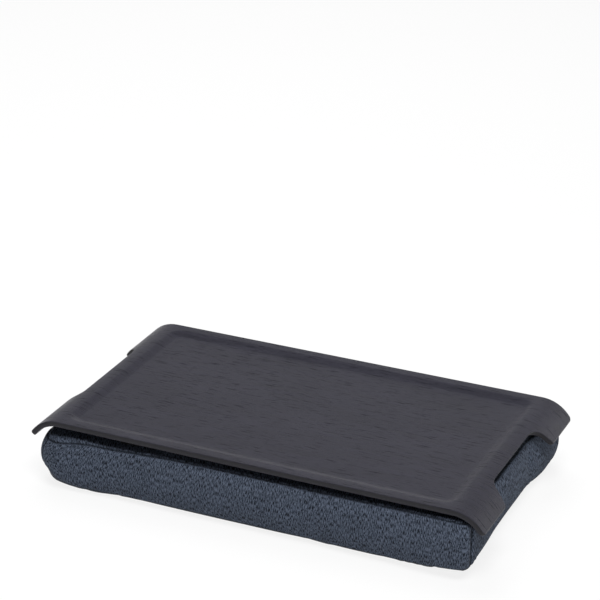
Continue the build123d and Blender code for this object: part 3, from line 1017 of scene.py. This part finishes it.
def carried(values, lines):
    """Rows of values carried by smooth cubic curves to places between them."""
    count = len(values)
    cell = np.minimum(lines.astype(int), count - 2)
    t = (lines - cell).reshape((-1,) + (1,) * (values.ndim - 1))
    padded_values = np.concatenate(
        ((2 * values[0] - values[1])[None], values, (2 * values[-1] - values[-2])[None]))
    a, b, c, d = (padded_values[cell + k] for k in range(4))
    return (
        a * (-t + 2 * t**2 - t**3) + b * (2 - 5 * t**2 + 3 * t**3)
        + c * (t + 4 * t**2 - 3 * t**3) + d * (t**3 - t**2)
    ) / 2


def refined(values, lines_along, lines_across):
    """A grid of values carried to finer lines both ways."""
    return np.swapaxes(carried(np.swapaxes(carried(values, lines_along), 0, 1), lines_across), 0, 1)


def seam_lines(start, end, step=0.5):
    """Lines across a grid's cells, closer together beside the seams at both ends."""
    near = np.array((0, 0.08, 0.2, 0.35, 0.6))
    even = np.arange(start + 1, end - 1 + 0.01, step)
    return np.concatenate((start + near, even, end - near[::-1]))


def cloth_panel(
        name, node, source, lines, finish, settings, seam_sides=(True,) * 4, window=None):
    """One sewn panel of the cover as a closed mesh as thick as its cloth."""
    points, facing, numbers = source
    along, across = lines
    grid = refined(points[numbers], along, across)
    away = refined(facing[numbers], along, across)
    away /= np.linalg.norm(away, axis=-1)[..., None]
    u, v = walked(grid[:, grid.shape[1] // 2]), walked(grid[grid.shape[0] // 2])
    to_sides = u[:, None], u[-1] - u[:, None], v[None], v[-1] - v[None]
    gap = np.full(grid.shape[:2], 1.0)
    for is_seam, distance in zip(seam_sides, to_sides):
        if is_seam:
            gap = np.minimum(gap, distance)
    groove = settings.seam_depth * bell(gap, seam_reach)
    outer = grid - away * groove[..., None]
    outer[..., 2] = np.maximum(outer[..., 2], 0)
    inner = outer - away * fabric
    if name == "base_panel":
        inner[..., 2] = np.maximum(inner[..., 2], fabric / 2)
    count = gap.size
    number = np.arange(count).reshape(gap.shape)
    cells = np.ones((gap.shape[0] - 1, gap.shape[1] - 1), bool)
    if window is not None:
        cells = ~window(grid)
    faces = []
    for corners in zip(*(numbers[cells] for numbers in cell_corners(number))):
        ring = [int(k) for k in corners]
        faces.append(ring)
        faces.append([k + count for k in ring[::-1]])
    edges = {}
    for ring in faces[::2]:
        edges.update(dict.fromkeys(zip(ring, ring[1:] + ring[:1])))
    faces += [[q, p, p + count, q + count] for p, q in edges if (q, p) not in edges]
    # The place's third value is the distance to the nearest seam, which the heather uses for its painted
    # seam shade
    place = np.stack(np.broadcast_arrays(u[:, None], v[None], gap), axis=-1).reshape(-1, 3)
    used = np.zeros(2 * count, bool)
    used[np.unique([k for ring in faces for k in ring])] = True
    renumbered = np.cumsum(used) - 1
    faces = [[int(renumbered[k]) for k in ring] for ring in faces]
    body = np.vstack((outer.reshape(-1, 3), inner.reshape(-1, 3)))[used]
    return piece(
        name, body, faces, finish, "cushion", (node,), np.vstack((place, place))[used], radians(60))


class LAPTRAY_OT_cushion(bpy.types.Operator):
    """Fills the cushion and builds its sewn panels, its bag, its beads and its loop strips"""

    bl_idname = "laptray.cushion"
    bl_label = "Cushion"

    def execute(self, context):
        settings = context.scene.lap_cushion
        points = cushion_points()
        points = settled(points, settings)
        points[:, 2] = np.clip(points[:, 2], 0, cushion_top)
        points = sway(points)
        facing = outward(points)
        self.cover(points, facing, settings)
        self.filling(points, facing)
        self.loop_strips(points, facing, context.scene.lap_tray)
        return {"FINISHED"}

    def cover(self, points, facing, settings):
        """The seven panels of the cover."""
        heather = heather_finish(settings)
        base = plain_weave_finish("base_weave", settings.base)
        long_lines, short_lines, wall_lines = (seam_lines(0, cells) for cells in (columns, rows, tiers))
        panels = (
            ("top", "top_panel", "cover_top_panel", long_lines, short_lines),
            ("bottom", "base_panel", "cover_bottom_panel", long_lines, short_lines),
            ("front", "front_wall", "cover_front_wall", long_lines, wall_lines),
            ("left", "left_wall", "cover_left_wall", short_lines, wall_lines),
            ("right", "right_wall", "cover_right_wall", short_lines, wall_lines),
        )
        for side, name, node, *lines in panels:
            source = points, facing, panel_numbers[side]
            cloth, slot = (base, "base_fabric") if side == "bottom" else (heather, "cover_fabric")
            made = cloth_panel(name, node, source, lines, cloth, settings)
        numbers = panel_numbers["back"]
        middle = points[numbers[columns // 2]][:, 2]
        heights = zip_height, zip_height + zip_opening / 2
        cut, upper_hem = np.interp(heights, middle, np.arange(tiers + 1))
        hem = upper_hem - cut
        across = points[numbers[:, int(round(cut))]][:, 0]
        ends = np.interp((zip_half, -zip_half), across[::-1], np.arange(columns, -1, -1))
        long_lines = np.unique(np.concatenate((long_lines, ends)))
        low_lines = np.unique(np.concatenate((seam_lines(0, cut), (cut - hem,))))
        high_lines = np.unique(np.concatenate((seam_lines(cut, tiers), (cut + hem,))))

        def in_window(grid):
            """Cells of the grid that the zip's window takes away."""
            centre = (grid[:-1, :-1] + grid[1:, 1:]) / 2
            tall = np.abs(centre[..., 2] - zip_height) < zip_opening / 2
            return tall & (np.abs(centre[..., 0]) < zip_half)

        source = points, facing, numbers
        bands = (
            ("upper_band", high_lines, (True, True, False, True)),
            ("lower_band", low_lines, (True, True, True, False)),
        )
        for name, wall_lines, seam_sides in bands:
            made = cloth_panel(
                name, f"cover_back_{name}", source, (long_lines, wall_lines), heather,
                settings, seam_sides, in_window)

    def filling(self, points, facing):
        """The bag and the beads that show when the cover is off."""
        zip_room = bell(points[:, 2] - zip_height, 7 * MM) * (np.abs(points[:, 0]) < zip_half)
        zip_room *= points[:, 1] > zip_face - 4 * MM
        faces = closed_form()
        shells = []
        for depth in (bag_face, bag_lining, bead_face):
            inset = depth + zip_give * zip_room
            shells.append(points - facing * inset[:, None])
        count = len(points)
        inner = [[k + count for k in ring[::-1]] for ring in faces]
        bag = plain_weave_finish("bag_weave", (0.55, 0.55, 0.54), pitch=0.0005)
        made = piece(
            "bag", np.vstack(shells[:2]), faces + inner, bag, "cushion", ("bead_bag",),
            np.vstack(shells[:2]))
        made = piece("beads", shells[2], faces, bead_finish(), "cushion", ("bead_fill",))

    def loop_strips(self, points, facing, tray):
        """The loop strips, sewn over the crown of the top panel."""
        finish = pile_finish("loop_pile", tray.strip)
        thick = loop_high.z - cushion_top
        over_turns, along_turns, wander_turns = 2600, 2300, 900   # of the tufts, in radians for a metre
        numbers = panel_numbers["top"]
        middle_row = points[numbers[:, rows // 2]][:, 0]
        for side in ("left", "right"):
            low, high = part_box(f"loop_strip_{side}")
            start, end = np.interp((low.x, high.x), middle_row, np.arange(columns + 1))
            column = points[numbers[int(round((start + end) / 2))]][:, 1]
            front, back = np.interp((low.y, high.y), column, np.arange(rows + 1))
            along = start + (end - start) * edged_lines(30, 0.05)
            across = front + (back - front) * edged_lines(240, 0.005)
            grid = refined(points[numbers], along, across)
            away = refined(facing[numbers], along, across)
            a = (along - along[0]) / (along[-1] - along[0]) * (high.x - low.x)
            b = (across - across[0]) / (across[-1] - across[0]) * (high.y - low.y)
            wander = 2 * np.sin(a[:, None] * wander_turns)
            tufts = np.sin(a[:, None] * over_turns) * np.sin(b[None] * along_turns + wander)
            lift = thick * (0.86 + 0.12 * tufts)
            lift = lift * rounding(a[:, None], a[-1], thick) * rounding(b[None], b[-1], thick)
            body = np.vstack(((grid + away * lift[..., None]).reshape(-1, 3), grid.reshape(-1, 3)))
            piece(
                f"loops_{side}", body, strip_faces(lift.shape), finish, "cushion",
                (f"loop_strip_{side}",))


class LAPTRAY_OT_zip(bpy.types.Operator):
    """Builds the zip's tapes and coils and finishes its metal pieces"""

    bl_idname = "laptray.zip"
    bl_label = "Zip"

    def execute(self, context):
        tape = plain_weave_finish("tape_weave", context.scene.lap_tray.strip, pitch=0.0008, relief=0.0004)
        nylon = nylon_finish()
        metal = metal_finish()
        rib_pitch, tooth_pitch = 1.45 * MM, 1.5 * MM
        for row in ("upper", "lower"):
            low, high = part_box(f"zip_tape_{row}")
            size = high.x - low.x, high.z - low.z
            thick = high.y - low.y

            def ribs(a, b):
                """A woven tape with faint ribs along it."""
                body = 0.92 + 0.08 * np.cos(b / rib_pitch * 2 * pi)
                return thick * body * rounding(b, size[1], thick / 2)

            lines = edged_lines(130, 0.002), edged_lines(24, 0.08)
            origin = (low.x, low.y, high.z)
            points, faces, place = relief_bar(origin, (1, 0, 0), (0, 0, -1), size, lines, ribs)
            piece(f"{row}_tape", points, faces, tape, "cushion", (f"zip_tape_{row}",), place)

            low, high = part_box(f"zip_coil_{row}")
            coil_size = high.x - low.x, high.z - low.z
            tall = high.y - low.y
            lean = 1 if row == "upper" else -1

            def teeth(a, b):
                """Rounded turns of the coil, leaning towards the middle of the zip."""
                turn = np.abs(np.sin((a + lean * 0.25 * (b - coil_size[1] / 2)) / tooth_pitch * pi))
                body = 0.45 + 0.55 * turn ** 0.5
                return tall * body * rounding(b, coil_size[1], coil_size[1] / 2)

            turns = int(coil_size[0] / tooth_pitch) * 8
            lines = edged_lines(turns, 0.0005), edged_lines(10, 0.2)
            origin = (low.x, low.y, high.z)
            points, faces, place = relief_bar(origin, (1, 0, 0), (0, 0, -1), coil_size, lines, teeth)
            piece(f"{row}_coil", points, faces, nylon, "cushion", (f"zip_coil_{row}",), place)
        for name in ("zip_slider", "zip_pull", "zip_end_stops"):
            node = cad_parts[name]
            node.data.materials.clear()
            node.data.materials.append(metal)
            bevel = node.modifiers.new("Edges", "BEVEL")
            bevel.width = 0.12 * MM
            bevel.segments = 2
            bevel.limit_method = "ANGLE"
            bevel.harden_normals = True
        return {"FINISHED"}


class LAPTRAY_OT_stage(bpy.types.Operator):
    """Lays the floor and sets the light and the camera"""

    bl_idname = "laptray.stage"
    bl_label = "Stage"

    def execute(self, context):
        settings = context.scene.lap_stage
        context.scene.view_settings.view_transform = "Standard"
        self.floor(settings)
        self.light(settings)
        self.camera(settings)
        return {"FINISHED"}

    def floor(self, settings):
        """A wide pale floor that the camera sees as white and that keeps a soft shadow."""
        make = Finish("pale_floor")
        make.feed(make.shader, "Base Color", colour(settings.floor))
        make.feed(make.shader, "Roughness", 0.8)
        make.feed(make.shader, "Specular IOR Level", 0.0)
        glow = make.add("Emission", {"Color": colour((1, 1, 1)), "Strength": 1.0})
        path = make.add("LightPath").outputs
        mirrored = make.math("MULTIPLY", path["Is Glossy Ray"], 0.45)
        seen = make.math("MULTIPLY", make.math("MAXIMUM", path["Is Camera Ray"], mirrored), 0.85)
        mix = make.add("MixShader", {0: seen, 1: make.shader.outputs[0], 2: glow.outputs[0]})
        make.feed(make.tree.nodes["Material Output"], "Surface", mix.outputs[0])
        mesh = bpy.data.meshes.new("floor")
        reach = 6.0
        corners = [(-reach, -reach, 0), (reach, -reach, 0), (reach, reach, 0), (-reach, reach, 0)]
        mesh.from_pydata(corners, [], [(0, 1, 2, 3)])
        mesh.materials.append(make.material)
        ground = bpy.data.objects.new("floor", mesh)
        bpy.context.scene.collection.objects.link(ground)

    def light(self, settings):
        """An even sky, pale low down to the right, and two large soft lamps."""
        world = bpy.data.worlds.new("studio")
        world.use_nodes = True
        make = Nodes(world.node_tree)
        sky = make.tree.nodes["Background"]
        make.feed(sky, "Strength", settings.sky)
        make.feed(sky, "Color", colour((1, 1, 1)))
        white = make.add("Background", {"Color": colour((1, 1, 1))})
        path = make.add("LightPath").outputs
        facing = make.add("SeparateXYZ", {0: make.add("TexCoord").outputs["Generated"]}).outputs
        keys = "From Min", "From Max", "To Min", "To Max"
        upward_fade = dict(zip(keys, (0.32, 0.60, 0.72, 0.02)), Value=facing["Z"])
        rightward_rise = dict(zip(keys, (-0.8, 0.4, 0.5, 1.8)), Value=facing["X"])
        mirrored = path["Is Glossy Ray"]
        for inputs in (upward_fade, rightward_rise):
            mirrored = make.math("MULTIPLY", mirrored, make.add("MapRange", inputs).outputs["Result"])
        seen = make.math("MAXIMUM", path["Is Camera Ray"], mirrored)
        mix = make.add("MixShader", {0: seen, 1: sky.outputs[0], 2: white.outputs[0]})
        make.feed(make.tree.nodes["World Output"], "Surface", mix.outputs[0])
        bpy.context.scene.world = world
        for name, power, width, place in (
                ("key", settings.key, 1.8, (-0.7, 0.9, 1.9)),
                ("fill", settings.fill, 1.1, (0.6, -0.75, 2.15))):
            lamp = bpy.data.lights.new(name, "AREA")
            lamp.shape = "DISK"
            lamp.size = width
            lamp.energy = power
            holder = bpy.data.objects.new(name, lamp)
            holder.location = place
            holder.rotation_euler = (-holder.location).to_track_quat("-Z", "Y").to_euler()
            holder.visible_glossy = False
            bpy.context.scene.collection.objects.link(holder)

    def camera(self, settings):
        """The camera, looking down at the tray from the front right."""
        roll = radians(-0.46)
        across, down = 0.00289, -0.09773
        a, e = settings.turn, settings.lift
        back = Vector((sin(a) * cos(e), -cos(a) * cos(e), sin(e)))
        right = Vector((cos(a), sin(a), 0))
        up = back.cross(right)
        tilted_right = right * cos(roll) - up * sin(roll)
        tilted_up = right * sin(roll) + up * cos(roll)
        place = Vector((0, 0, tray_height)) + back * settings.distance
        place -= tilted_right * across + tilted_up * down
        data = bpy.data.cameras.new("camera")
        data.lens = 129.8
        data.sensor_width = 36.0
        eye = bpy.data.objects.new("camera", data)
        turned = Matrix((tilted_right, tilted_up, back)).transposed().to_4x4()
        eye.matrix_world = Matrix.Translation(place) @ turned
        bpy.context.scene.collection.objects.link(eye)
        bpy.context.scene.camera = eye


class LAPTRAY_PT_panel(bpy.types.Panel):
    """Sizes, colours and steps of the lap tray"""

    bl_idname = "LAPTRAY_PT_panel"
    bl_label = "Lap Tray"
    bl_space_type = "VIEW_3D"
    bl_region_type = "UI"
    bl_category = "Lap Tray"

    def draw(self, context):
        """Lists every setting and a button for every step."""
        for group in (context.scene.lap_tray, context.scene.lap_cushion, context.scene.lap_stage):
            box = self.layout.box()
            for name in group.__annotations__:
                box.prop(group, name)
        for operator in operators:
            self.layout.operator(operator.bl_idname)


operators = (
    LAPTRAY_OT_board, LAPTRAY_OT_hook_strips, LAPTRAY_OT_cushion, LAPTRAY_OT_zip, LAPTRAY_OT_stage,
)
groups = {"lap_tray": TraySettings, "lap_cushion": CushionSettings, "lap_stage": StageSettings}
classes = (*groups.values(), *operators, LAPTRAY_PT_panel)


def register():
    """Makes the settings, the steps and the panel known."""
    for each in classes:
        bpy.utils.register_class(each)
    for name, group in groups.items():
        setattr(bpy.types.Scene, name, bpy.props.PointerProperty(type=group))


def unregister():
    """Takes them away again."""
    for name in groups:
        delattr(bpy.types.Scene, name)
    for each in reversed(classes):
        bpy.utils.unregister_class(each)


def main():
    """Builds everything."""
    register()
    bpy.ops.laptray.board()
    bpy.ops.laptray.hook_strips()
    bpy.ops.laptray.cushion()
    bpy.ops.laptray.zip()
    bpy.ops.laptray.stage()


if __name__ == "__main__":
    main()
